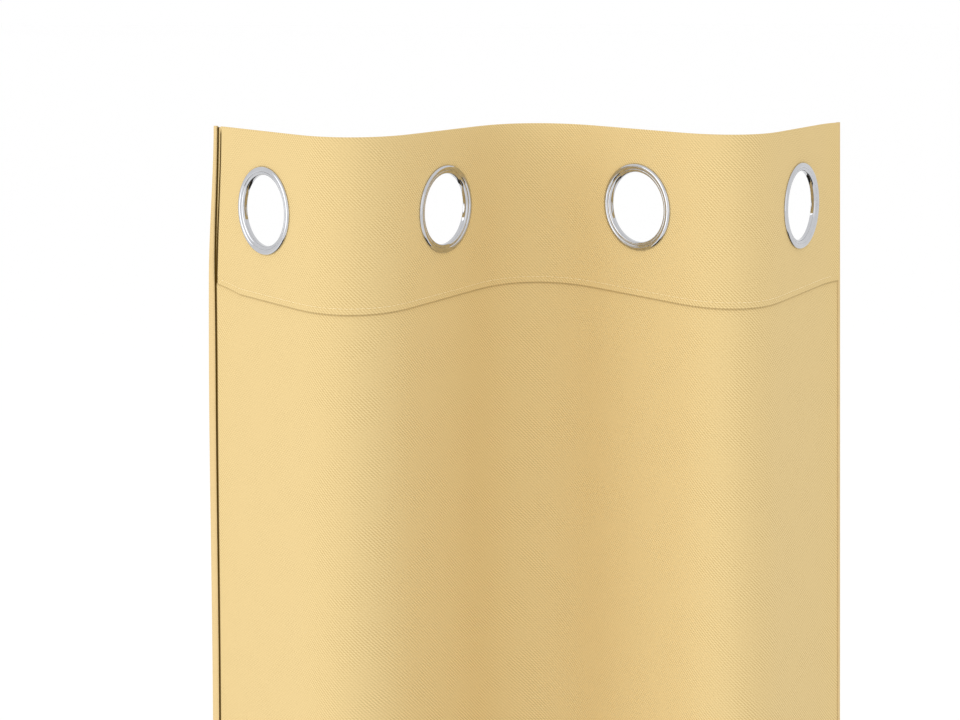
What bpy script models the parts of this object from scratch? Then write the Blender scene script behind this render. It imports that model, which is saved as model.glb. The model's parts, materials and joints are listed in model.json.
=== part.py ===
# Eyelet curtain of heat-resistant coated cloth, gathered in folds on a rod.
# Metres, +Z up. The rod would run along X through the eyelets at Y = 0, Z = 0,
# and the front of the cloth looks to -Y. The rod itself isn't part of the object.
#
# The cloth is one sheet on the real curtain. Here it is cut at its fold lines into
# four flanks, which carry the eyelets, and three folds, which join the flanks.

import math

import bmesh
import bpy
from mathutils import Vector

# Cloth, measured flat
eyelet_spacing = (0.151, 0.164, 0.142)  # between eyelet centres, left to right
left_margin = 0.056                     # left edge to the first eyelet's centre
right_margin = 0.058                    # last eyelet's centre to the right edge
drop = 1.600                            # top edge to bottom edge
cloth_thickness = 0.0008
contact_gap = 0.0003                    # kept between pieces that touch

# Folds
flank_angle = math.radians(51.5)        # of the cloth at each eyelet, away from the rod's line
fold_strip = 0.040                      # width of the piece round each fold's crest
fold_travel = math.radians(28.5)        # the most that a flank turns, either way
outer_spacing = 0.152                   # the cloth's ends curve as towards an eyelet this far on

# Eyelets
hole_diameter = 0.044
rim_width = 0.0055
rim_height = 0.0016
barrel_wall = 0.0008
back_height = 0.0010
barrel_clearance = 0.0004               # round the barrel, in the cloth and the back ring
flat_border = 0.0005                    # flat cloth outside each eyelet's rim

# Heading, hem, binding and thread
margin_above_eyelet = 0.0218            # top edge to the eyelet's rim
margin_below_eyelet = 0.0282            # eyelet's rim to the heading's lower edge
heading_thickness = 0.0008
hem_depth = 0.040
hem_thickness = 0.0008
binding_width = 0.0045
binding_thickness = 0.0008
binding_to_heading = 0.0030
thread_radius = 0.0003
stitch_above_edge = 0.0035

# Fineness of the curved shapes
curve_step = 0.006                      # along the cloth, between outline points
plan_step = 0.0005                      # along the cloth, when its plan is added up
ring_steps = 36
dome_points = 6

# Worked out from the sizes above
outer_radius = hole_diameter / 2 + rim_width
barrel_radius = hole_diameter / 2 + barrel_wall
flat_half = outer_radius + flat_border
eyelet_below_top = margin_above_eyelet + outer_radius
top_height = eyelet_below_top
bottom_height = top_height - drop
heading_depth = eyelet_below_top + outer_radius + margin_below_eyelet
flat_width = left_margin + sum(eyelet_spacing) + right_margin
cloth_front = -contact_gap / 2
cloth_back = cloth_front - cloth_thickness
heading_back = contact_gap / 2
heading_front = heading_back + heading_thickness


def clear_scene():
    for thing in list(bpy.data.objects):
        bpy.data.objects.remove(thing, do_unlink=True)


def new_collection(name):
    collection = bpy.data.collections.new(name)
    bpy.context.scene.collection.children.link(collection)
    return collection


def new_material(name, colour, roughness, metallic):
    material = bpy.data.materials.new(name)
    material.use_nodes = True
    shader = material.node_tree.nodes["Principled BSDF"]
    shader.inputs["Base Color"].default_value = (*colour, 1)
    shader.inputs["Roughness"].default_value = roughness
    shader.inputs["Metallic"].default_value = metallic
    return material


def eyelet_positions():
    places = [left_margin]
    for spacing in eyelet_spacing:
        places.append(places[-1] + spacing)
    return places


def eyelet_turn(index):
    # the first flank comes towards the front, and the flanks take turns from there
    return flank_angle if index % 2 else -flank_angle


def cloth_angle(place):
    """Angle of the cloth to the rod's line at a place along the flat cloth."""
    eyelets = eyelet_positions()
    if place <= eyelets[0]:
        along = (eyelets[0] - place - flat_half) / (outer_spacing - 2 * flat_half)
        return eyelet_turn(0) * math.cos(math.pi * min(max(along, 0), 1))
    for index, spacing in enumerate(eyelet_spacing):
        if place <= eyelets[index + 1]:
            along = (place - eyelets[index] - flat_half) / (spacing - 2 * flat_half)
            return eyelet_turn(index) * math.cos(math.pi * min(max(along, 0), 1))
    along = (place - eyelets[-1] - flat_half) / (outer_spacing - 2 * flat_half)
    return eyelet_turn(len(eyelets) - 1) * math.cos(math.pi * min(max(along, 0), 1))


def add_up_plan():
    """Points of the cloth's plan, every plan_step from its left edge."""
    count = math.ceil(flat_width / plan_step)
    step = flat_width / count
    points = [Vector((0, 0))]
    for index in range(count):
        angle = cloth_angle((index + 0.5) * step)
        points.append(points[-1] + step * Vector((math.cos(angle), math.sin(angle))))
    return points, step


plan_points, plan_spacing = add_up_plan()


def raw_plan(place):
    position = min(max(place / plan_spacing, 0), len(plan_points) - 1.000001)
    index = int(position)
    return plan_points[index].lerp(plan_points[index + 1], position - index)


plan_middle = (raw_plan(eyelet_positions()[0]) + raw_plan(eyelet_positions()[-1])) / 2


def plan_point(place, forward=0.0):
    """The cloth's plan at a place along it, moved towards its front by forward."""
    angle = cloth_angle(place)
    along = Vector((math.cos(angle), math.sin(angle)))
    front = Vector((math.sin(angle), -math.cos(angle)))
    beyond = place - min(max(place, 0), flat_width)
    return raw_plan(place) - plan_middle + along * beyond + front * forward


def hinge_trim(distance):
    """How far a layer this far from the fold line ends short of it, to turn freely."""
    return contact_gap / 2 + distance * math.tan(fold_travel / 2)


def strip_outline(start, end, back, front):
    count = max(2, math.ceil((end - start) / curve_step))
    places = [start + (end - start) * index / count for index in range(count + 1)]
    outline = [plan_point(place, front) for place in places]
    outline += [plan_point(place, back) for place in reversed(places)]
    return outline


def solid_from_outline(name, outline, low, high, frame, material, collection):
    """A closed plan outline, raised from low to high, in its frame's own space."""
    curve = bpy.data.curves.new(name + "_outline", "CURVE")
    curve.dimensions = "2D"
    curve.fill_mode = "BOTH"
    curve.extrude = (high - low) / 2
    spline = curve.splines.new("POLY")
    spline.points.add(len(outline) - 1)
    spline.use_cyclic_u = True
    for point, corner in zip(spline.points, outline):
        point.co = (corner.x - frame.location.x, corner.y - frame.location.y, 0, 1)
    guide = bpy.data.objects.new(name + "_outline", curve)
    collection.objects.link(guide)
    guide.location.z = (high + low) / 2
    piece = mesh_piece(name, guide, collection)
    piece.parent = frame
    piece.data.materials.append(material)
    return piece


def mesh_piece(name, guide, collection):
    """Turns a curve object into a mesh object with its caps welded on."""
    bpy.context.view_layer.update()
    evaluated = guide.evaluated_get(bpy.context.evaluated_depsgraph_get())
    mesh = bpy.data.meshes.new_from_object(evaluated)
    mesh.name = name
    shape = bmesh.new()
    shape.from_mesh(mesh)
    bmesh.ops.remove_doubles(shape, verts=shape.verts, dist=0.00001)
    bmesh.ops.recalc_face_normals(shape, faces=shape.faces)
    shape.to_mesh(mesh)
    shape.free()
    mesh.materials.clear()
    piece = bpy.data.objects.new(name, mesh)
    collection.objects.link(piece)
    piece.matrix_world = guide.matrix_world
    curve = guide.data
    bpy.data.objects.remove(guide)
    bpy.data.curves.remove(curve)
    return piece


def new_frame(name, place, collection):
    """An empty on a fold line, for the pieces that turn about it."""
    frame = bpy.data.objects.new(name, None)
    collection.objects.link(frame)
    point = plan_point(place)
    frame.location = (point.x, point.y, 0)
    frame.empty_display_size = 0.02
    return frame


def fold_edges(index):
    """The two fold lines of one fold, along the flat cloth."""
    eyelets = eyelet_positions()
    crest = (eyelets[index] + eyelets[index + 1]) / 2
    return crest - fold_strip / 2, crest + fold_strip / 2


def body_spans():
    """Each rigid stretch of the cloth: name, start, end and the line that it turns about."""
    last = len(eyelet_spacing)
    spans = []
    for index in range(last + 1):
        start = fold_edges(index - 1)[1] if index else 0.0
        end = fold_edges(index)[0] if index < last else flat_width
        spans.append([f"flank_{index + 1}", start, end, end if index < 2 else start])
    for index in range(last):
        start, end = fold_edges(index)
        spans.append([f"fold_{index + 1}", start, end, end if index < 1 else start])
    return spans


def is_outer(place):
    return place in (0.0, flat_width)


def inset_span(start, end, distance, outer_inset):
    """A layer's own ends: free of the fold lines, or short of the curtain's side edges."""
    left = outer_inset if is_outer(start) else hinge_trim(distance)
    right = outer_inset if is_outer(end) else hinge_trim(distance)
    return start + left, end - right


def add_cloth(name, start, end, frame, material, collection):
    left, right = inset_span(start, end, -cloth_back, 0.0)
    outline = strip_outline(left, right, cloth_back, cloth_front)
    return solid_from_outline("curtain_" + name, outline, bottom_height, top_height,
                              frame, material, collection)


def add_heading(name, start, end, frame, material, collection):
    inset = binding_width + binding_to_heading
    left, right = inset_span(start, end, heading_front, inset)
    outline = strip_outline(left, right, heading_back, heading_front)
    return solid_from_outline("heading_" + name, outline, top_height - heading_depth,
                              top_height, frame, material, collection)


def add_hem(name, start, end, frame, material, collection):
    front = cloth_back - contact_gap
    back = front - hem_thickness
    left, right = inset_span(start, end, -back, binding_width + contact_gap)
    outline = strip_outline(left, right, back, front)
    return solid_from_outline("hem_" + name, outline, bottom_height,
                              bottom_height + hem_depth, frame, material, collection)


def add_heading_stitch(name, start, end, frame, material, collection):
    """The thread that holds the heading's lower edge, as one run along each stretch."""
    forward = heading_front + contact_gap + thread_radius
    inset = binding_width + binding_to_heading + stitch_above_edge
    left, right = inset_span(start, end, forward + thread_radius, inset)
    count = max(2, math.ceil((right - left) / curve_step))
    curve = bpy.data.curves.new("heading_stitch_" + name, "CURVE")
    curve.dimensions = "3D"
    curve.bevel_depth = thread_radius
    curve.bevel_resolution = 1
    curve.use_fill_caps = True
    spline = curve.splines.new("POLY")
    spline.points.add(count)
    for index, point in enumerate(spline.points):
        corner = plan_point(left + (right - left) * index / count, forward)
        point.co = (corner.x - frame.location.x, corner.y - frame.location.y, 0, 1)
    stitch = bpy.data.objects.new("heading_stitch_" + name, curve)
    collection.objects.link(stitch)
    stitch.location.z = top_height - heading_depth + stitch_above_edge
    stitch.parent = frame
    curve.materials.append(material)
    return stitch


def add_binding(name, edge, inward, frame, material, collection):
    """A folded tape over one side edge: its section is a U, open towards the cloth."""
    front_face = cloth_front + contact_gap + binding_thickness
    back_face = cloth_back - contact_gap - binding_thickness
    middle = (front_face + back_face) / 2
    outer = (front_face - back_face) / 2
    inner = outer - binding_thickness
    leg = edge + inward * binding_width
    centre = edge - inward * contact_gap + inward * inner
    turn = [math.radians(angle) for angle in range(90, -91, -30)]
    outline = [plan_point(leg, front_face)]
    outline += [plan_point(centre - inward * outer * math.cos(angle),
                           middle + outer * math.sin(angle)) for angle in turn]
    outline.append(plan_point(leg, back_face))
    outline.append(plan_point(leg, back_face + binding_thickness))
    outline += [plan_point(centre - inward * inner * math.cos(angle),
                           middle + inner * math.sin(angle)) for angle in reversed(turn)]
    outline.append(plan_point(leg, front_face - binding_thickness))
    return solid_from_outline(name, outline, bottom_height, top_height,
                              frame, material, collection)


def turned_ring(name, profile, centre, facing, frame, material, collection):
    """A closed profile of (radius, height) corners, turned about the eyelet's axis."""
    mesh = bpy.data.meshes.new(name)
    shape = bmesh.new()
    corners = [shape.verts.new((radius, 0, height)) for radius, height in profile]
    for first, second in zip(corners, corners[1:] + corners[:1]):
        shape.edges.new((first, second))
    shape.to_mesh(mesh)
    shape.free()
    ring = bpy.data.objects.new(name, mesh)
    collection.objects.link(ring)
    ring.parent = frame
    ring.location = (centre.x - frame.location.x, centre.y - frame.location.y, 0)
    ring.rotation_euler = facing.to_track_quat("Z", "Y").to_euler()
    ring.data.materials.append(material)
    screw = ring.modifiers.new("Turn", "SCREW")
    screw.axis = "Z"
    screw.angle = math.tau
    screw.steps = ring_steps
    screw.render_steps = ring_steps
    screw.use_merge_vertices = True
    screw.merge_threshold = 0.00001
    screw.use_smooth_shade = True
    return ring


def dome(inner, outer, base, height):
    """Corners over a rounded rim, from its inner side to its outer side."""
    middle = (inner + outer) / 2
    half = (outer - inner) / 2
    corners = []
    for index in range(dome_points + 1):
        angle = math.pi * (1 - index / dome_points)
        corners.append((middle + half * math.cos(angle), base + height * math.sin(angle)))
    return corners


def front_ring_profile():
    """The visible half: a rounded rim, and the barrel that passes through the cloth."""
    base = heading_front + contact_gap
    end = cloth_back - contact_gap - back_height
    profile = dome(hole_diameter / 2, outer_radius, base, rim_height)
    profile += [(barrel_radius, base), (barrel_radius, end), (hole_diameter / 2, end)]
    return profile


def back_ring_profile():
    """The half behind the cloth, pressed round the barrel."""
    base = cloth_back - contact_gap
    over = dome(barrel_radius + barrel_clearance, outer_radius, base, -back_height)
    return list(reversed(over))


def cut_hole(piece, centre, facing, cutters):
    """Cuts the eyelet's hole through a layer with a hidden round cutter."""
    mesh = bpy.data.meshes.new(piece.name + "_cutter")
    shape = bmesh.new()
    radius = barrel_radius + barrel_clearance
    bmesh.ops.create_cone(shape, cap_ends=True, segments=ring_steps, radius1=radius,
                          radius2=radius, depth=hole_diameter / 2)
    shape.to_mesh(mesh)
    shape.free()
    cutter = bpy.data.objects.new(piece.name + "_cutter", mesh)
    cutters.objects.link(cutter)
    cutter.location = (centre.x, centre.y, 0)
    cutter.rotation_euler = facing.to_track_quat("Z", "Y").to_euler()
    cutter.hide_render = True
    cutter.display_type = "WIRE"
    cut = piece.modifiers.new("Eyelet hole", "BOOLEAN")
    cut.operation = "DIFFERENCE"
    cut.solver = "EXACT"
    cut.object = cutter


def add_eyelet(number, place, layers, frame, material, parts, cutters):
    centre = plan_point(place)
    angle = cloth_angle(place)
    facing = Vector((math.sin(angle), -math.cos(angle), 0))
    turned_ring(f"eyelet_front_{number}", front_ring_profile(), centre, facing,
                frame, material, parts)
    turned_ring(f"eyelet_back_{number}", back_ring_profile(), centre, facing,
                frame, material, parts)
    for layer in layers:
        cut_hole(layer, centre, facing, cutters)


def build():
    clear_scene()
    parts = new_collection("eyelet_curtain")
    cutters = new_collection("cutters")
    cloth = new_material("coated cloth", (0.78, 0.60, 0.34), 0.7, 0.0)
    heading_cloth = new_material("heading cloth", (0.80, 0.62, 0.36), 0.7, 0.0)
    tape = new_material("binding tape", (0.74, 0.56, 0.31), 0.75, 0.0)
    thread = new_material("sewing thread", (0.62, 0.46, 0.26), 0.8, 0.0)
    plated = new_material("plated steel", (0.82, 0.82, 0.84), 0.12, 1.0)

    frames = {}
    layers = {}
    for name, start, end, hinge in body_spans():
        frame = new_frame("frame_" + name, hinge, parts)
        frames[name] = frame
        layers[name] = [add_cloth(name, start, end, frame, cloth, parts),
                        add_heading(name, start, end, frame, heading_cloth, parts)]
        add_hem(name, start, end, frame, cloth, parts)
        add_heading_stitch(name, start, end, frame, thread, parts)

    for index, place in enumerate(eyelet_positions()):
        name = f"flank_{index + 1}"
        add_eyelet(index + 1, place, layers[name], frames[name], plated, parts, cutters)

    last = f"flank_{len(eyelet_positions())}"
    add_binding("binding_left", 0.0, 1, frames["flank_1"], tape, parts)
    add_binding("binding_right", flat_width, -1, frames[last], tape, parts)


build()
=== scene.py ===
import json
import math

import bmesh
import bpy
from mathutils import Matrix, Vector


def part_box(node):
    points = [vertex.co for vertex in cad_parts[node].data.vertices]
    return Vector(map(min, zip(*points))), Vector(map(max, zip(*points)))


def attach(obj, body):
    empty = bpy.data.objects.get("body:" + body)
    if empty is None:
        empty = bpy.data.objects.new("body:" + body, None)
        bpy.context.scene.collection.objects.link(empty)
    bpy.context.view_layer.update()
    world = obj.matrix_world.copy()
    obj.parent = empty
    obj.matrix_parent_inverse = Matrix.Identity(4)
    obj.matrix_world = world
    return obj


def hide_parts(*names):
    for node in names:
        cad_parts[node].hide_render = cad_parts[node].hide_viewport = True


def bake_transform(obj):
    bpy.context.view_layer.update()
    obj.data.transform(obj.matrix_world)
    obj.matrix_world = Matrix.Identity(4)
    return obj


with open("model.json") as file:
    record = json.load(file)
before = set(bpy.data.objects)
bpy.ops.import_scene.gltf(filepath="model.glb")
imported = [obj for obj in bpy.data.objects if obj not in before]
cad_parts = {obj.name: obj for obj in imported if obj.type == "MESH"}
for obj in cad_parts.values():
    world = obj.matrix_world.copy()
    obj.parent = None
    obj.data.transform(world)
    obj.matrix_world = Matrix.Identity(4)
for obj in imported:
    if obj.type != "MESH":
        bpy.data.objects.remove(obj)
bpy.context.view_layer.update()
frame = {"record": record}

mm = 0.001

# what the frame says

eyeletCentres = []
for opening in frame["record"]["physics"]["openings"]:      # each eyelet's clear way for the rod
    low, high = opening["box_m"]
    eyeletCentres.append((Vector(low) + Vector(high)) / 2)
eyeletCount = len(eyeletCentres)
foldCount = eyeletCount - 1
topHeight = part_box("curtain_fold_2")[1].z
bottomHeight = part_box("curtain_fold_2")[0].z
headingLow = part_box("heading_fold_2")[0].z
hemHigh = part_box("hem_fold_2")[1].z
stitchHeight = sum(corner.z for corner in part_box("heading_stitch_fold_2")) / 2

# the cut of the cloth, measured flat from its left edge
cut = {
    "spacing": (0.151, 0.164, 0.142),   # between eyelet centres
    "leftMargin": 0.056,
    "rightMargin": 0.058,
    "outerSpacing": 0.152,              # the ends curve as towards an eyelet this far on
    "flatHalf": 0.028,                  # each eyelet keeps this much of the cloth flat
    "flankAngle": math.radians(51.5),
}

cloth = {
    "thickness": 0.6 * mm,
    "mainForward": -0.55 * mm,          # middle of the sheet, from the middle of the two layers
    "headingForward": 0.55 * mm,
    "hemForward": -1.65 * mm,
    "tuck": 5 * mm,                     # turned under at the heading's and the hem's edge
    "headingInset": 5.9 * mm,           # the heading ends short of the left edge
    "headingInsetRight": 1.3 * mm,      # and beside the tape on the right
    "seamLift": 5.4 * mm,               # the heading's lower edge was sewn higher at the left end
    "seamLiftReach": 30 * mm,
    "seamLiftHeight": 25 * mm,
    "headingFrontEdge": 0.85 * mm,      # middle of the cloth where the heading turns under
    "headingEdgeRadius": 0.4 * mm,
    "hemEdgeRadius": 0.3 * mm,
    "hemTurn": 0.3 * mm,                # cloth further back than this is the hem's
}
halfCloth = cloth["thickness"] / 2
headingFace = cloth["headingForward"] + halfCloth
sheetFront = cloth["mainForward"] + halfCloth
sheetBack = cloth["mainForward"] - halfCloth
hemBack = cloth["hemForward"] - halfCloth

tape = {
    "thickness": 0.4 * mm,
    "clearance": 0.05 * mm,
    "topWidth": 1.9 * mm,
    "lowWidth": 4.3 * mm,
    "rise": 0.35 * mm,                  # how far the front leg swells
    "rightWidth": 1.3 * mm,             # the right one is narrow and lies flat
    "widensOver": 0.16,                 # from the top edge down
    "sink": 0.2 * mm,                   # its front leg's rim dips into the cloth
    "pastEdge": 0.35 * mm,
    "uvStep": 0.8 * mm,                 # cloth between two of its section's points
    "rows": 130,
    "rowSpread": 1.15,                  # rows lie closer towards the top
}

eyelet = {
    "holeRadius": 22.0 * mm,
    "outerRadius": 27.5 * mm,
    "beadInner": 23.9 * mm,             # a shallow valley parts the bead from the rolled throat
    "frontRise": 1.5 * mm,
    "backRise": 0.85 * mm,
    "throatEnd": -1.3 * mm,             # where the barrel starts to flare over the back ring
    "wall": 0.7 * mm,
    "bedded": 0.1 * mm,                 # the rims start this far off the cloth
    "throatRadius": 1.75 * mm,          # how the front rolls into the barrel
    "throatRise": 1.7 * mm,
    "throatDrop": 1.6 * mm,             # from the valley to where the barrel is straight
    "flare": 0.55 * mm,
    "flareDepth": 0.45 * mm,
    "backGap": 0.1 * mm,                # between the barrel and the back ring
    "clothGap": 0.3 * mm,               # between the barrel and the cloth's hole
    "steps": 96,
}


# the cloth's plan

def eyeletPlaces():
    places = [cut["leftMargin"]]
    for spacing in cut["spacing"]:
        places.append(places[-1] + spacing)
    return places


eyeletAt = eyeletPlaces()
flatWidth = eyeletAt[-1] + cut["rightMargin"]
crestAt = [(eyeletAt[i] + eyeletAt[i + 1]) / 2 for i in range(foldCount)]


def clothAngle(place):
    # angle to the rod's line: steady beside an eyelet, then round the crest as a cosine
    near = min(range(eyeletCount), key=lambda i: abs(eyeletAt[i] - place))
    side = 1 if place > eyeletAt[near] else -1
    other = near + side
    spacing = cut["outerSpacing"]
    if 0 <= other < eyeletCount:
        spacing = abs(eyeletAt[other] - eyeletAt[near])
    along = (abs(place - eyeletAt[near]) - cut["flatHalf"]) / (spacing - 2 * cut["flatHalf"])
    turn = cut["flankAngle"] if near % 2 else -cut["flankAngle"]
    return turn * math.cos(math.pi * min(max(along, 0), 1))


planSteps = 1200                        # short straight steps along the cloth
planStep = flatWidth / planSteps
planLine = [Vector((0, 0))]
for index in range(planSteps):
    angle = clothAngle((index + 0.5) * planStep)
    planLine.append(planLine[-1] + planStep * Vector((math.cos(angle), math.sin(angle))))


def rawPlan(place):
    position = min(max(place / planStep, 0), planSteps - 1e-6)
    index = int(position)
    return planLine[index].lerp(planLine[index + 1], position - index)


framePlan = [Vector((centre.x, centre.y)) for centre in eyeletCentres]
planShift = ((framePlan[0] + framePlan[-1]) / 2
             - (rawPlan(eyeletAt[0]) + rawPlan(eyeletAt[-1])) / 2)
planShift.y = -rawPlan(eyeletAt[0]).y     # the eyelets' middles lie on the rod's line


def smooth(value):
    value = min(max(value, 0), 1)
    return value * value * (3 - 2 * value)


leftEdge = {                            # heights are below the top edge
    "reach": 24 * mm,
    "topInwards": 1.75 * mm,
    "swing": 3.1 * mm,
    "swingOver": 0.10,
    "return": 2.7 * mm,
    "returnFrom": 0.13,
    "returnOver": 0.28,
}

wander = {
    "from": 0.30,                       # below the top edge
    "over": 1.1,
    # size, and the phase: per metre of width, per metre of height, at the start
    "across": ((3.5 * mm, 15.3, 0, 0.6), (2.0 * mm, 9.1, 3.1, 0)),
    "deep": ((4.0 * mm, 21.7, 1.4, 2.1), (2.5 * mm, 33, -4.3, 0)),
}


def edgeBow(place, height):
    # the left edge swings out a little below the heading and back again further down
    nearEdge = smooth(1 - place / leftEdge["reach"])
    below = topHeight - height
    swing = leftEdge["swing"] * smooth(below / leftEdge["swingOver"])
    swing -= leftEdge["return"] * smooth((below - leftEdge["returnFrom"]) / leftEdge["returnOver"])
    return -nearEdge * (swing - leftEdge["topInwards"])


def waves(which, place, height):
    return sum(size * math.sin(place * perWidth + height * perHeight + start)
               for size, perWidth, perHeight, start in wander[which])


def hangAt(place, height):
    # the free part of the cloth wanders a little from the folds set by the eyelets
    free = smooth((topHeight - height - wander["from"]) / wander["over"])
    across = free * waves("across", place, height) + edgeBow(place, height)
    return Vector((across, free * waves("deep", place, height)))


def seamLift(place, height):
    # a shift of the cloth's grid near the heading's lower edge, at the left end only
    if place > cloth["seamLiftReach"]:
        return 0.0
    nearEnd = (1 - max(place, 0) / cloth["seamLiftReach"]) ** 1.2
    return cloth["seamLift"] * nearEnd * (1 - smooth(abs(height - headingLow) / cloth["seamLiftHeight"]))


def clothPoint(place, forward, height):
    height += seamLift(place, height)
    angle = clothAngle(place)
    along = Vector((math.cos(angle), math.sin(angle)))
    front = Vector((math.sin(angle), -math.cos(angle)))
    beyond = place - min(max(place, 0), flatWidth)
    flat = rawPlan(place) + planShift + along * beyond + front * forward + hangAt(place, height)
    return Vector((flat.x, flat.y, height))


def facing(place):
    angle = clothAngle(place)
    return Vector((math.sin(angle), -math.cos(angle), 0))


# small helpers

def deselectAll():
    if bpy.context.object and bpy.context.object.mode != "OBJECT":
        bpy.ops.object.mode_set(mode="OBJECT")
    bpy.ops.object.select_all(action="DESELECT")


def makeActive(piece):
    deselectAll()
    piece.select_set(True)
    bpy.context.view_layer.objects.active = piece


def applyModifier(piece, kind, **settings):
    makeActive(piece)
    modifier = piece.modifiers.new(kind.title(), kind)
    for key, value in settings.items():
        setattr(modifier, key, value)
    bpy.ops.object.modifier_apply(modifier=modifier.name)


def smoothByAngle(piece, degrees):
    makeActive(piece)
    bpy.ops.object.shade_smooth_by_angle(angle=math.radians(degrees))


def pieceFromShape(name, shape, material):
    mesh = bpy.data.meshes.new(name)
    shape.to_mesh(mesh)
    shape.free()
    mesh.materials.append(material)
    piece = bpy.data.objects.new(name, mesh)
    bpy.context.scene.collection.objects.link(piece)
    return piece


def linear(hexColour):
    channels = [int(hexColour[i:i + 2], 16) / 255 for i in (0, 2, 4)]
    return tuple(c / 12.92 if c <= 0.04045 else ((c + 0.055) / 1.055) ** 2.4 for c in channels) + (1.0,)


def addNode(tree, kind, inputs=None, links=None, **settings):
    node = tree.nodes.new(kind)
    for key, value in settings.items():
        setattr(node, key, value)
    for socket, value in (inputs or {}).items():
        node.inputs[socket].default_value = value
    for socket, source in (links or {}).items():
        tree.links.new(source, node.inputs[socket])
    return node


def newMaterial(name):
    material = bpy.data.materials.new(name)
    material.use_nodes = True
    material.node_tree.nodes.clear()
    return material, material.node_tree


# materials

# flame-resistant canvas of spun yarn with a thin dull coating: a fine diagonal rib,
# yarns of slightly uneven tone, a faint bloom at glancing angles and no gloss
weave = {
    "ribPitch": 1.5,                    # mm, drawn coarser than the real 0.85 so that it shows
    "yarnPitch": 1.3,                   # mm, along each rib
    "light": "F6DCA2",
    "dark": "B69B64",
    "driftPerMm": 0.35,                 # yarns wander over about 3 mm
    "drift": 0.9,                       # mm
    "slubPerMm": 0.9,                   # thick spots in the yarn, about 1 mm long
    "patchPerMm": 0.05,                 # ribs show more and less in patches of about 20 mm
    "reliefHeight": 0.00008,
    "shadeAndSeal": "463100",                   # brown painted shade beside the left tape, at the heading's cut end and under the heading's lower edge, and the cut edges' seal
}

tapeWeave = {
    "ribPitch": 1.0,                    # mm, coarser than real as well
    "light": "EED4A0",
    "dark": "C5A974",
}


def canvasMaterial(name, ribPitch, light, dark):
    material, tree = newMaterial(name)
    uv = addNode(tree, "ShaderNodeUVMap", uv_map="cloth")
    inMm = addNode(tree, "ShaderNodeVectorMath", {1: (1000, 1000, 1000)}, {0: uv.outputs[0]},
                   operation="MULTIPLY")
    split = addNode(tree, "ShaderNodeSeparateXYZ", links={0: inMm.outputs[0]})
    drift = addNode(tree, "ShaderNodeTexNoise",
                    {"Scale": weave["driftPerMm"], "Detail": 2.0, "Roughness": 0.6},
                    {"Vector": inMm.outputs[0]})
    diagonal = addNode(tree, "ShaderNodeMath", links={0: split.outputs[0], 1: split.outputs[1]},
                       operation="SUBTRACT")
    driftMm = addNode(tree, "ShaderNodeMath", {1: weave["drift"]}, {0: drift.outputs[0]},
                      operation="MULTIPLY")
    wavy = addNode(tree, "ShaderNodeMath", links={0: diagonal.outputs[0], 1: driftMm.outputs[0]},
                   operation="ADD")
    ribPhase = addNode(tree, "ShaderNodeMath", {1: math.tau / (ribPitch * math.sqrt(2))},
                       {0: wavy.outputs[0]}, operation="MULTIPLY")
    rib = addNode(tree, "ShaderNodeMath", links={0: ribPhase.outputs[0]}, operation="SINE")
    yarnPhase = addNode(tree, "ShaderNodeMath", {1: math.tau / weave["yarnPitch"]},
                        {0: split.outputs[1]}, operation="MULTIPLY")
    yarn = addNode(tree, "ShaderNodeMath", links={0: yarnPhase.outputs[0]}, operation="SINE")
    ribYarn = addNode(tree, "ShaderNodeMath", {1: 0.3}, {0: yarn.outputs[0], 2: rib.outputs[0]},
                      operation="MULTIPLY_ADD")
    slub = addNode(tree, "ShaderNodeTexNoise",
                   {"Scale": weave["slubPerMm"], "Detail": 3.0, "Roughness": 0.7},
                   {"Vector": inMm.outputs[0]})
    patch = addNode(tree, "ShaderNodeTexNoise", {"Scale": weave["patchPerMm"], "Detail": 2.0},
                    {"Vector": inMm.outputs[0]})
    showing = addNode(tree, "ShaderNodeMapRange", {1: 0.35, 2: 0.6, 3: 0.35, 4: 1.0},
                      {0: patch.outputs[0]})
    relief = addNode(tree, "ShaderNodeMath", links={0: ribYarn.outputs[0], 1: showing.outputs[0]},
                     operation="MULTIPLY")
    tone = addNode(tree, "ShaderNodeMapRange", {1: -1.3, 2: 1.3, 3: 0.05, 4: 0.95},
                   {0: relief.outputs[0]})
    toneSlub = addNode(tree, "ShaderNodeMix", {0: 0.35}, {2: tone.outputs[0], 3: slub.outputs[0]},
                       data_type="FLOAT")
    body = addNode(tree, "ShaderNodeMix", {6: linear(dark), 7: linear(light)},
                   {0: toneSlub.outputs[0]}, data_type="RGBA")
    # painted shade in brown, with the cut edges' seal: mixed in by the per-vertex share
    shadeAndSeal = addNode(tree, "ShaderNodeAttribute", attribute_name="shadeAndSeal", attribute_type="GEOMETRY")
    withShadeAndSeal = addNode(tree, "ShaderNodeMix", {7: linear(weave["shadeAndSeal"])},
                    {0: shadeAndSeal.outputs["Fac"], 6: body.outputs[2]}, data_type="RGBA")
    height = addNode(tree, "ShaderNodeMath", {1: 0.25}, {0: slub.outputs[0], 2: relief.outputs[0]},
                     operation="MULTIPLY_ADD")
    bump = addNode(tree, "ShaderNodeBump", {"Strength": 0.6, "Distance": weave["reliefHeight"]},
                   {"Height": height.outputs[0]})
    rough = addNode(tree, "ShaderNodeMapRange", {1: 0.3, 2: 0.7, 3: 0.70, 4: 0.86},
                    {0: slub.outputs[0]})
    shader = addNode(tree, "ShaderNodeBsdfPrincipled",
                     {"Specular IOR Level": 0.08, "Sheen Weight": 0.02, "Sheen Roughness": 0.5},
                     {"Base Color": withShadeAndSeal.outputs[2], "Roughness": rough.outputs[0],
                      "Normal": bump.outputs[0]})
    addNode(tree, "ShaderNodeOutputMaterial", links={"Surface": shader.outputs[0]})
    return material


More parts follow.
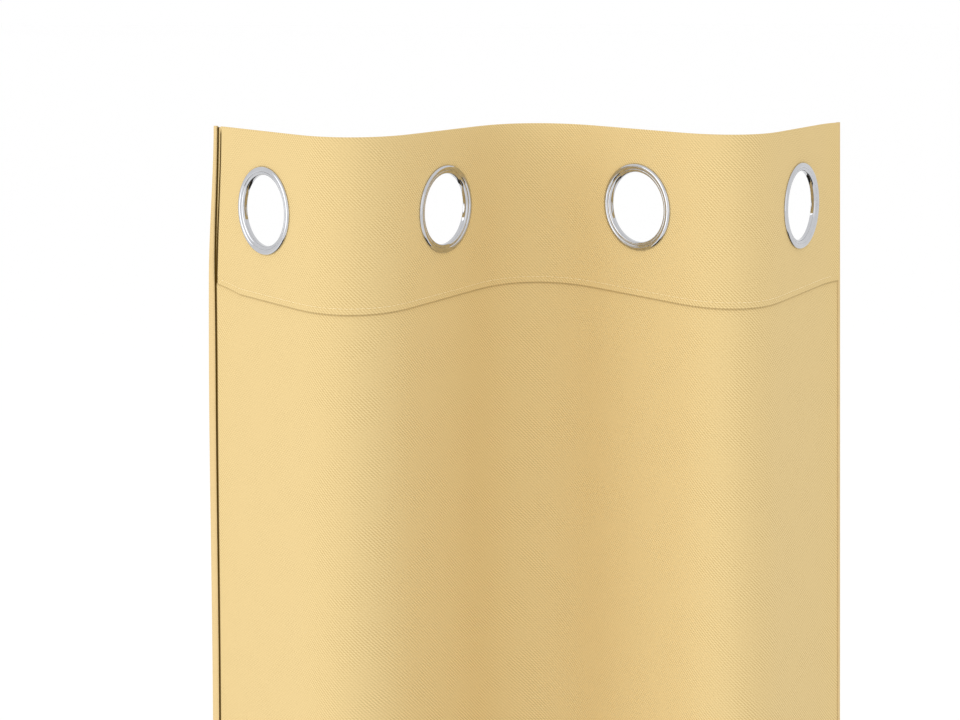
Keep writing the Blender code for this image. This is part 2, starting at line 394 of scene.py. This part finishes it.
# bonded heat-resistant sewing thread, two plies twisted: a soft shine and a fine slant,
# with a turn about every 0.4 mm
def threadMaterial():
    material, tree = newMaterial("bonded sewing thread")
    place = addNode(tree, "ShaderNodeTexCoord")
    twist = addNode(tree, "ShaderNodeTexWave", {"Scale": 900.0, "Distortion": 0.6, "Detail": 1.0},
                    {"Vector": place.outputs["Object"]}, wave_type="BANDS", bands_direction="DIAGONAL")
    tone = addNode(tree, "ShaderNodeMix", {6: linear("E4CC94"), 7: linear("FAE8BA")},
                   {0: twist.outputs["Fac"]}, data_type="RGBA")
    bump = addNode(tree, "ShaderNodeBump", {"Strength": 0.4, "Distance": 0.00005},
                   {"Height": twist.outputs["Fac"]})
    shader = addNode(tree, "ShaderNodeBsdfPrincipled",
                     {"Roughness": 0.55, "Specular IOR Level": 0.35, "Sheen Weight": 0.1},
                     {"Base Color": tone.outputs[2], "Normal": bump.outputs[0]})
    addNode(tree, "ShaderNodeOutputMaterial", links={"Surface": shader.outputs[0]})
    return material


# pressed steel, bright chrome plate: a cool grey mirror, with a thin haze in patches of
# about 5 mm and wiping marks of about 0.4 mm
def chromeMaterial():
    material, tree = newMaterial("bright chrome plate")
    place = addNode(tree, "ShaderNodeTexCoord")
    haze = addNode(tree, "ShaderNodeTexNoise", {"Scale": 180.0, "Detail": 3.0},
                   {"Vector": place.outputs["Object"]})
    marks = addNode(tree, "ShaderNodeTexNoise", {"Scale": 2600.0, "Detail": 2.0, "Roughness": 0.7},
                    {"Vector": place.outputs["Object"]})
    rough = addNode(tree, "ShaderNodeMapRange", {1: 0.35, 2: 0.7, 3: 0.05, 4: 0.12},
                    {0: haze.outputs[0]})
    tone = addNode(tree, "ShaderNodeMix", {6: linear("C9CACD"), 7: linear("BDBEC2")},
                   {0: haze.outputs[0]}, data_type="RGBA")
    bump = addNode(tree, "ShaderNodeBump", {"Strength": 0.05, "Distance": 0.00002},
                   {"Height": marks.outputs[0]})
    shader = addNode(tree, "ShaderNodeBsdfPrincipled", {"Metallic": 1.0},
                     {"Base Color": tone.outputs[2], "Roughness": rough.outputs[0],
                      "Normal": bump.outputs[0]})
    addNode(tree, "ShaderNodeOutputMaterial", links={"Surface": shader.outputs[0]})
    return material


canvas = canvasMaterial("flame-resistant canvas", weave["ribPitch"], weave["light"], weave["dark"])
tapeCloth = canvasMaterial("woven canvas tape", tapeWeave["ribPitch"], tapeWeave["light"],
                           tapeWeave["dark"])
sewingThread = threadMaterial()
chrome = chromeMaterial()
print("materials made")


# the sheet: one length of cloth, folded to the front at the top and to the back at the hem

grid = {
    "columnStep": 2.5 * mm,
    "rowStep": 12 * mm,
    "headingRowStep": 4 * mm,
    "hemRowStep": 6 * mm,
    "tuckRowStep": 1.5 * mm,
    "joinAt": (0.5 * mm, 1.0 * mm, 1.75 * mm),
    "joinZone": 3 * mm,
    "fineFrom": 1.8 * mm,               # fine columns beside the tapes, for the brown lines of painted shade and seal
    "fineStep": 0.4 * mm,
    "fineCount": 18,
    "edgeZone": 9 * mm,
}


def arc(centreForward, centreHeight, radius, fromDegrees, toDegrees, count):
    points = []
    for index in range(count + 1):
        angle = math.radians(fromDegrees + (toDegrees - fromDegrees) * index / count)
        points.append((centreForward + radius * math.cos(angle),
                       centreHeight + radius * math.sin(angle)))
    return points


def straight(start, end, step):
    count = max(1, round(abs(end[1] - start[1]) / step))
    return [(start[0] + (end[0] - start[0]) * i / count,
             start[1] + (end[1] - start[1]) * i / count) for i in range(1, count)]


topRows = 8                             # round the top edge


def sheetPath():
    # (forward, height) from the heading's tucked edge, over the top, down, and up the hem
    edgeRadius = cloth["headingEdgeRadius"]
    frontEdge = cloth["headingFrontEdge"]
    path = [(frontEdge - 2 * edgeRadius, headingLow + cloth["tuck"])]
    path += straight(path[-1], (path[-1][0], headingLow + edgeRadius), grid["tuckRowStep"])
    path += arc(frontEdge - edgeRadius, headingLow + edgeRadius, edgeRadius, 180, 360, 6)
    # the heading swells a little over its tuck, and the stitches pull it in 3.5 mm up
    heights = (1.0, 1.8, 2.5, 3.0, 3.5, 4.0, 4.6, 5.4, 6.6, 8.5, 11, 14.5)
    forwards = (0.66, 0.70, 0.68, 0.60, 0.55, 0.59, 0.66, 0.70, 0.70, 0.66, 0.60, 0.55)
    path += [(forward * mm, headingLow + above * mm) for above, forward in zip(heights, forwards)]
    topRadius = (cloth["headingForward"] - cloth["mainForward"]) / 2
    topCentre = (cloth["headingForward"] + cloth["mainForward"]) / 2
    crown = topHeight - cloth["thickness"] / 2 - topRadius
    path += straight(path[-1], (cloth["headingForward"], crown), grid["headingRowStep"])
    path += arc(topCentre, crown, topRadius, 0, 180, topRows)
    hemRadius = (cloth["mainForward"] - cloth["hemForward"]) / 2
    hemCentre = (cloth["mainForward"] + cloth["hemForward"]) / 2
    foot = bottomHeight + cloth["thickness"] / 2 + hemRadius
    path += straight(path[-1], (cloth["mainForward"], headingLow + 3 * mm), grid["rowStep"])
    creaseRows = (3.0, 1.5, 0.4, -0.2, -0.8, -1.3, -1.9, -3.0)      # close rows where the painted shade lies
    path += [(cloth["mainForward"], headingLow + above * mm) for above in creaseRows]
    path += straight(path[-1], (cloth["mainForward"], foot), grid["rowStep"])
    path += arc(hemCentre, foot, hemRadius, 0, -180, 8)
    tuckRadius = cloth["hemEdgeRadius"]
    path += straight(path[-1], (cloth["hemForward"], hemHigh - tuckRadius), grid["hemRowStep"])
    path += arc(cloth["hemForward"] + tuckRadius, hemHigh - tuckRadius, tuckRadius, 180, 0, 5)
    path.append((cloth["hemForward"] + 2 * tuckRadius, hemHigh - cloth["tuck"]))
    return path


sectionPath = sheetPath()
sectionLength = [0.0]
for first, second in zip(sectionPath, sectionPath[1:]):
    sectionLength.append(sectionLength[-1] + math.dist(first, second))
topRow = max(range(len(sectionPath)), key=lambda i: sectionPath[i][1])


def columnPlaces(start, end):
    # closer columns at the ends, so that two pieces meet without a crease
    places = {start, end}
    for near in grid["joinAt"]:
        places.update((start + near, end - near))
    fine = [grid["fineFrom"] + grid["fineStep"] * step for step in range(grid["fineCount"])]
    if start == 0:
        places.update(fine + [cloth["headingInset"]])
    if end == flatWidth:
        places.update([end - near for near in fine + [cloth["headingInsetRight"]]])
    inner = start + (grid["edgeZone"] if start == 0 else grid["joinZone"])
    outer = end - (grid["edgeZone"] if end == flatWidth else grid["joinZone"])
    count = round((outer - inner) / grid["columnStep"])
    places.update(inner + (outer - inner) * i / count for i in range(count + 1))
    return sorted(places)


def headingEndsAt(place):
    if place < flatWidth / 2:
        return cloth["headingInset"]
    return cloth["headingInsetRight"]


def fromEdge(place):
    return min(place, flatWidth - place)


def tapeWidth(height):
    below = topHeight - height
    return tape["topWidth"] + (tape["lowWidth"] - tape["topWidth"]) * smooth(below / tape["widensOver"])


# painted shade in brown: bands beside the left tape and along the heading's cut end, where shadows fall
# between the layers, also coloured as the cut edges' seal; and on and under the heading's lower edge
shadeAndSealBands = {
    "sheetWidth": 1.9 * mm,             # on the sheet, beside the left tape
    "headingWidth": 1.4 * mm,           # along the heading's cut end
    "fadeFrom": 0.75,                   # of the width
    "fadeOver": 0.4,
    "reach": 12 * mm,                   # none of it lies further from the edge
    "edgeShade": 0.30,                   # strength of the painted shade on the heading's lower edge, of 1
    "edgeShadeHeight": 0.35 * mm,
    "creaseShade": 0.26,                 # strength of the painted shade in the crease under it
    "creaseFrom": -1.7 * mm,
    "creaseRise": 0.9 * mm,
    "creaseFade": 2 * mm,
}


def creaseShadeShare(height, row):
    # painted shade on the heading's lower edge and in the crease under it, where its shadow falls
    above = height - headingLow
    if row < topRow:
        return shadeAndSealBands["edgeShade"] * (1 - smooth(above / shadeAndSealBands["edgeShadeHeight"]))
    starting = smooth((above - shadeAndSealBands["creaseFrom"]) / shadeAndSealBands["creaseRise"])
    return shadeAndSealBands["creaseShade"] * starting * (1 - smooth(above / shadeAndSealBands["creaseFade"]))


def shadeAndSealShare(place, height, row):
    # painted shade in brown, also the cut edges' seal, along the heading's cut end and on the sheet beside
    # the tape, on the left only
    shadedCrease = creaseShadeShare(height, row)
    if place > shadeAndSealBands["reach"]:
        return shadedCrease
    if row < topRow - topRows // 2:
        beyond = place - cloth["headingInset"]
        width = shadeAndSealBands["headingWidth"]
    else:
        beyond = place - tapeWidth(height)
        width = shadeAndSealBands["sheetWidth"]
    fading = smooth((beyond - shadeAndSealBands["fadeFrom"] * width) / (shadeAndSealBands["fadeOver"] * width))
    return max(shadedCrease, 1 - fading)


def thickCloth(name, points, shadeAndSeals, uvs, wanted, material, thickness):
    # a grid of points made faces where wanted, then given its thickness
    shape = bmesh.new()
    uvLayer = shape.loops.layers.uv.new("cloth")
    # per vertex: how much brown painted shade and seal the cloth takes
    shadeAndSealLayer = shape.verts.layers.float.new("shadeAndSeal")
    rows = []
    for pointRow, shadeAndSealRow in zip(points, shadeAndSeals):
        line = []
        for point, shadeAndSeal in zip(pointRow, shadeAndSealRow):
            vertex = shape.verts.new(point)
            vertex[shadeAndSealLayer] = shadeAndSeal
            line.append(vertex)
        rows.append(line)
    for row in range(len(rows) - 1):
        for column in range(len(rows[0]) - 1):
            if not wanted(row, column):
                continue
            corners = [(row, column), (row, column + 1), (row + 1, column + 1), (row + 1, column)]
            face = shape.faces.new([rows[r][c] for r, c in corners])
            for loop, (r, c) in zip(face.loops, corners):
                loop[uvLayer].uv = uvs[r][c]
    loose = [vertex for vertex in shape.verts if not vertex.link_faces]
    bmesh.ops.delete(shape, geom=loose, context="VERTS")
    piece = pieceFromShape(name, shape, material)
    applyModifier(piece, "SOLIDIFY", thickness=thickness, offset=0.0, use_even_offset=False)
    makeActive(piece)
    bpy.ops.object.mode_set(mode="EDIT")
    bpy.ops.mesh.select_all(action="SELECT")
    bpy.ops.mesh.normals_make_consistent(inside=False)
    bpy.ops.object.mode_set(mode="OBJECT")
    return piece


def sheetPiece(name, start, end):
    places = columnPlaces(start, end)
    hemForward = cloth["mainForward"] - cloth["hemTurn"]
    lastTopRow = topRow + 3             # just over the crown, on the back

    def isCloth(row, column):
        # the heading and the hem are cut short of the side edges
        middle = (places[column] + places[column + 1]) / 2
        doubled = row < lastTopRow or sectionPath[row][0] < hemForward
        return not (doubled and fromEdge(middle) < headingEndsAt(middle))

    points = []
    shadeAndSeals = []
    uvs = []
    for row, (forward, height) in enumerate(sectionPath):
        down = -sectionLength[row] if row < topRow else sectionLength[row] - 2 * sectionLength[topRow]
        points.append([clothPoint(place, forward, height) for place in places])
        shadeAndSeals.append([shadeAndSealShare(place, height, row) for place in places])
        uvs.append([(place, down) for place in places])
    return thickCloth(name, points, shadeAndSeals, uvs, isCloth, canvas, cloth["thickness"])


def cutEyeletHole(piece, index):
    deselectAll()
    radius = eyelet["holeRadius"] + eyelet["wall"] + eyelet["clothGap"]
    bpy.ops.mesh.primitive_cylinder_add(vertices=eyelet["steps"], radius=radius, depth=12 * mm)
    cutter = bpy.context.object
    cutter.rotation_mode = "QUATERNION"
    cutter.rotation_quaternion = facing(eyeletAt[index]).to_track_quat("Z", "Y")
    cutter.location = (framePlan[index].x, 0, eyeletCentres[index].z)
    applyModifier(piece, "BOOLEAN", object=cutter, operation="DIFFERENCE", solver="EXACT")
    bpy.data.objects.remove(cutter)


stretches = [                                   # name, start, end, flank, fold
    ("sheet_1_left", 0.0, crestAt[0], 0, 0),
    ("sheet_2_left", crestAt[0], eyeletAt[1], 1, 0),
    ("sheet_2_right", eyeletAt[1], crestAt[1], 1, 1),
    ("sheet_3_left", crestAt[1], eyeletAt[2], 2, 1),
    ("sheet_3_right", eyeletAt[2], crestAt[2], 2, 2),
    ("sheet_4_right", crestAt[2], flatWidth, 3, 2),
]


def bendWithJoint(piece, flank, fold):
    # works out where the stiff part beside the eyelet ends and where the crest is, but nothing uses them:
    # it only bakes the piece's placement into its mesh
    side = 1 if crestAt[fold] > eyeletAt[flank] else -1
    bendStart = eyeletAt[flank] + side * cut["flatHalf"]
    start = clothPoint(bendStart, 0, headingLow)
    end = clothPoint(crestAt[fold], 0, headingLow)
    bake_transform(piece)


for name, start, end, flank, fold in stretches:
    piece = sheetPiece(name, start, end)
    for index in range(eyeletCount):
        if start - 1 * mm <= eyeletAt[index] <= end + 1 * mm:
            cutEyeletHole(piece, index)
    smoothByAngle(piece, 40)
    bendWithJoint(piece, flank, fold)
    names = [f"{layer}_{body}" for layer in ("curtain", "heading", "hem")
             for body in (f"flank_{flank + 1}", f"fold_{fold + 1}")]
    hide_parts(*names)
print("sheet made:", len(stretches), "pieces")


# stitches

stitch = {
    "pitch": 3.3 * mm,
    "length": 2.5 * mm,
    "radius": 0.26 * mm,
    "bow": 0.4,                         # how far its ends dip, of the radius
    "slant": math.radians(4),
    "fromHeadingEnd": 3 * mm,
    "hemBelowEdge": 4 * mm,
    "proudOfHeading": 0.10 * mm,        # the thread's middle, out from the cloth's face
    "proudOfSheet": 0.12 * mm,
}


def selectAlong(piece, low, high):
    # in edit mode: the vertices with X between low and high
    bpy.ops.object.mode_set(mode="OBJECT")
    for vertex in piece.data.vertices:
        vertex.select = low < vertex.co.x < high
    bpy.ops.object.mode_set(mode="EDIT")


def modelStitch():
    # a sphere drawn out into a short run of thread whose ends dip into the cloth
    deselectAll()
    bpy.ops.mesh.primitive_uv_sphere_add(segments=8, ring_count=6, radius=stitch["radius"],
                                         rotation=(0, math.pi / 2, 0))
    model = bpy.context.object
    bpy.ops.object.transform_apply(location=True, rotation=True, scale=True)
    half = stitch["length"] / 2 - stitch["radius"]
    bpy.ops.object.mode_set(mode="EDIT")
    bpy.ops.mesh.select_mode(type="VERT")
    for side in (-1, 1):
        bpy.ops.mesh.select_all(action="DESELECT")
        low, high = sorted((side * 0.01 * mm, side * stitch["length"]))
        selectAlong(model, low, high)
        bpy.ops.transform.translate(value=(side * half, stitch["bow"] * stitch["radius"], 0))
    bpy.ops.object.mode_set(mode="OBJECT")
    return model


def stitchRow(name, start, end, height, forward, flip):
    shape = bmesh.new()
    first = math.ceil((start / stitch["pitch"]) - 0.5)
    last = math.floor((end / stitch["pitch"]) - 0.5)
    for number in range(first, last + 1):
        place = (number + 0.5) * stitch["pitch"]
        if fromEdge(place) < cloth["headingInset"] + stitch["fromHeadingEnd"]:
            continue
        spot = clothPoint(place, forward, height)
        turn = Matrix.Rotation(clothAngle(place) + (math.pi if flip else 0), 4, "Z")
        tilt = Matrix.Rotation(stitch["slant"], 4, "Y")
        count = len(shape.verts)
        shape.from_mesh(stitchModel.data)
        shape.verts.ensure_lookup_table()
        bmesh.ops.transform(shape, matrix=Matrix.Translation(spot) @ turn @ tilt,
                            verts=shape.verts[count:])
    return pieceFromShape(name, shape, sewingThread)


stitchModel = modelStitch()
hemStitchHeight = hemHigh - stitch["hemBelowEdge"]
rowsOfStitches = [                      # name, height, forward, faces the back
    ("heading_stitches", stitchHeight, headingFace + stitch["proudOfHeading"], False),
    ("heading_stitches_back", stitchHeight, sheetBack - stitch["proudOfSheet"], True),
    ("hem_stitches_front", hemStitchHeight, sheetFront + stitch["proudOfSheet"], False),
    ("hem_stitches_back", hemStitchHeight, hemBack - stitch["proudOfSheet"], True),
]
for rowName, height, forward, flip in rowsOfStitches:
    for name, start, end, flank, fold in stretches:
        piece = stitchRow(rowName + name[5:], start, end, height, forward, flip)
        smoothByAngle(piece, 60)
        bendWithJoint(piece, flank, fold)
        if rowName == "heading_stitches":
            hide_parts(f"heading_stitch_flank_{flank + 1}", f"heading_stitch_fold_{fold + 1}")
bpy.data.objects.remove(stitchModel)
print("stitches made")


# tape over the side edges

def tapeSection(width, rise):
    # (from the edge inwards, forward): front leg, round the edge, back leg
    middle = cloth["mainForward"]
    reach = halfCloth + tape["clearance"] + tape["thickness"] / 2
    points = []
    for share in (0, 0.04, 0.12, 0.3, 0.5, 0.7, 0.88):
        swell = rise * math.sin(math.pi * min(share * 1.15, 1)) ** 0.6
        sink = tape["sink"] * (1 - smooth(share / 0.12))
        points.append((width * (1 - share), middle + reach + swell - sink))
    turnSteps = 8
    for step in range(1, turnSteps):
        angle = math.pi / 2 - math.pi * step / turnSteps
        beyond = tape["pastEdge"] + reach * math.cos(angle) * 0.8
        points.append((-beyond, middle + reach * math.sin(angle) * 1.15))
    backLeg = middle - reach - 0.1 * mm
    points += [(width * (1 - share), backLeg) for share in (0.88, 0.6, 0.3, 0.05, 0)]
    return points


def tapePiece(name, edge, inward, body, node):
    points = []
    shadeAndSeals = []
    uvs = []
    for index in range(tape["rows"] + 1):
        down = (index / tape["rows"]) ** tape["rowSpread"]
        height = topHeight - (topHeight - bottomHeight) * down
        width, rise = (tapeWidth(height), tape["rise"]) if inward > 0 else (tape["rightWidth"], 0)
        section = tapeSection(width, rise)
        points.append([clothPoint(edge + inward * fromSide, forward, height)
                       for fromSide, forward in section])
        shadeAndSeals.append([0.0] * len(section))
        uvs.append([(number * tape["uvStep"], height) for number in range(len(section))])
    piece = thickCloth(name, points, shadeAndSeals, uvs, lambda row, column: True, tapeCloth, tape["thickness"])
    smoothByAngle(piece, 50)
    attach(piece, body)
    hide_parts(node)


tapePiece("edge_tape_left", 0.0, 1, "flank_1", "binding_left")
tapePiece("edge_tape_right", flatWidth, -1, f"flank_{eyeletCount}", "binding_right")
print("tapes made")


# eyelets

def ovalArc(centre, radii, fromDegrees, toDegrees, count):
    # points of an ellipse's arc, as (radius, height)
    points = []
    for index in range(count + 1):
        angle = math.radians(fromDegrees + (toDegrees - fromDegrees) * index / count)
        points.append((centre[0] + radii[0] * math.cos(angle), centre[1] + radii[1] * math.sin(angle)))
    return points


def frontSection():
    # bead, valley, throat rolled into the barrel, flared end, and back up inside the wall
    hole, outer, wall = eyelet["holeRadius"], eyelet["outerRadius"], eyelet["wall"]
    base = headingFace + eyelet["bedded"]
    beadMiddle = (eyelet["beadInner"] + outer) / 2
    beadHalf = (outer - eyelet["beadInner"]) / 2
    end = eyelet["throatEnd"]
    section = [(outer - 0.25 * mm, base)]
    section += ovalArc((beadMiddle, base + 0.1 * mm), (beadHalf, eyelet["frontRise"]), 0, 150, 14)
    valley = section[-1][1]
    throatMiddle = (hole + eyelet["throatRadius"], valley - eyelet["throatDrop"])
    section += ovalArc(throatMiddle, (eyelet["throatRadius"], eyelet["throatRise"]), 80, 180, 9)
    flareMiddle = (hole + eyelet["flare"], end)
    section += ovalArc(flareMiddle, (eyelet["flare"], eyelet["flareDepth"]), 180, 270, 4)
    section += [(hole + wall + 0.1 * mm, end - 0.3 * mm), (hole + wall, end)]
    section += [(hole + wall, base), (hole + 2 * wall, base + 0.02 * mm)]
    return section


def backSection():
    inner = eyelet["holeRadius"] + eyelet["wall"] + eyelet["backGap"]
    outer = eyelet["outerRadius"]
    base = sheetBack - eyelet["bedded"]
    middle, half = (inner + outer) / 2, (outer - inner) / 2
    section = [(inner + 0.1 * mm, base), (outer - 0.1 * mm, base)]
    section += ovalArc((middle, base - 0.1 * mm), (half, eyelet["backRise"]), 0, -180, 14)
    return section


def spunRing(name, section):
    # one vertex drawn out along the section, then spun about Z
    weld = 0.002 * mm
    deselectAll()
    bpy.ops.mesh.primitive_plane_add(size=1 * mm)
    ring = bpy.context.object
    ring.name = name
    bpy.ops.object.mode_set(mode="EDIT")
    bpy.ops.mesh.select_all(action="SELECT")
    bpy.ops.mesh.merge(type="CENTER")
    bpy.ops.transform.translate(value=(section[0][0], 0, section[0][1]))
    for before, after in zip(section, section[1:] + section[:1]):
        step = (after[0] - before[0], 0, after[1] - before[1])
        bpy.ops.mesh.extrude_region_move(TRANSFORM_OT_translate={"value": step})
    bpy.ops.mesh.select_all(action="SELECT")
    bpy.ops.mesh.remove_doubles(threshold=weld)
    bpy.ops.mesh.select_all(action="SELECT")
    bpy.ops.mesh.spin(steps=eyelet["steps"], angle=math.tau, center=(0, 0, 0), axis=(0, 0, 1))
    bpy.ops.mesh.select_all(action="SELECT")
    bpy.ops.mesh.remove_doubles(threshold=weld)
    bpy.ops.mesh.normals_make_consistent(inside=False)
    bpy.ops.object.mode_set(mode="OBJECT")
    ring.data.materials.append(chrome)
    smoothByAngle(ring, 50)
    return ring


def setInCloth(model, name, index):
    ring = model.copy()
    ring.data = model.data.copy()
    ring.name = name
    bpy.context.scene.collection.objects.link(ring)
    ring.location = eyeletCentres[index]
    ring.rotation_euler = (math.pi / 2, 0, clothAngle(eyeletAt[index]))
    makeActive(ring)
    bpy.ops.object.transform_apply(location=True, rotation=True, scale=True)
    return ring


for side, section in (("front", frontSection()), ("back", backSection())):
    model = spunRing(f"eyelet_{side}_model", section)
    for index in range(eyeletCount):
        ring = setInCloth(model, f"eyelet_ring_{side}_{index + 1}", index)
        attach(ring, f"flank_{index + 1}")
        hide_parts(f"eyelet_{side}_{index + 1}")
    bpy.data.objects.remove(model)
print("eyelets made")


# floor, light and camera

studio = {
    "floorBelow": 0.05,
    "floorSize": 240,                   # wide enough to have no visible end
    "cameraLens": 55.3,
    "cameraPlace": (-0.0986, -0.923, 0.128),
    "cameraTurn": -3.93,
    "cameraShift": -0.3704,
    # place, point it faces, size and power; a broad one from the left, a weak one in front
    "key": ((-2.2, -1.0, 0.2), (0, 0, -0.3), (1.8, 2.6), 17),
    "fill": ((0.3, -2.4, 0.5), (0, 0, -0.3), (1.4, 2.0), 3.5),
    "flagPlace": (0, 0.1, -1.1),
    "flagFaces": (0, 0.1, 0),
    "flagSize": (1.5, 1.5),
}


def aimed(place, target):
    return (Vector(target) - Vector(place)).to_track_quat("-Z", "Y").to_euler()


def addFloor():
    deselectAll()
    bpy.ops.mesh.primitive_plane_add(size=studio["floorSize"],
                                     location=(0, 0, bottomHeight - studio["floorBelow"]))
    floor = bpy.context.object
    floor.name = "floor"
    material, tree = newMaterial("pale studio floor")
    shader = addNode(tree, "ShaderNodeBsdfPrincipled", {"Base Color": linear("FFFFFF"), "Roughness": 0.9})
    addNode(tree, "ShaderNodeOutputMaterial", links={"Surface": shader.outputs[0]})
    floor.data.materials.append(material)


def addAreaLight(name):
    place, target, size, power = studio[name]
    light = bpy.data.lights.new(name, "AREA")
    light.shape = "RECTANGLE"
    light.size, light.size_y = size
    light.energy = power
    lamp = bpy.data.objects.new(name, light)
    bpy.context.scene.collection.objects.link(lamp)
    lamp.location = place
    lamp.rotation_euler = aimed(place, target)


def addFlag():
    # a black card that only shows in polished metal
    deselectAll()
    bpy.ops.mesh.primitive_plane_add(size=1)
    flag = bpy.context.object
    flag.name = "flag_below"
    flag.scale = (*studio["flagSize"], 1)
    flag.location = studio["flagPlace"]
    flag.rotation_euler = aimed(studio["flagPlace"], studio["flagFaces"])
    bpy.ops.object.transform_apply(location=True, rotation=True, scale=True)
    flag.visible_camera = False
    flag.visible_diffuse = False
    flag.visible_shadow = False
    material, tree = newMaterial("black flag card")
    shader = addNode(tree, "ShaderNodeBsdfPrincipled", {"Base Color": linear("16150F"), "Roughness": 0.95})
    addNode(tree, "ShaderNodeOutputMaterial", links={"Surface": shader.outputs[0]})
    flag.data.materials.append(material)


def addWorld():
    world = bpy.data.worlds.new("studio")
    bpy.context.scene.world = world
    world.use_nodes = True
    background = world.node_tree.nodes["Background"]
    background.inputs[0].default_value = (1, 1, 1, 1)
    background.inputs[1].default_value = 1.0


def addCamera():
    data = bpy.data.cameras.new("camera")
    data.lens = studio["cameraLens"]
    data.shift_y = studio["cameraShift"]
    camera = bpy.data.objects.new("camera", data)
    bpy.context.scene.collection.objects.link(camera)
    camera.location = studio["cameraPlace"]
    camera.rotation_euler = (math.pi / 2, 0, math.radians(studio["cameraTurn"]))
    bpy.context.scene.camera = camera


addFloor()
addWorld()
addAreaLight("key")
addAreaLight("fill")
addFlag()
addCamera()
bpy.context.scene.view_settings.view_transform = "Standard"
print("studio made")
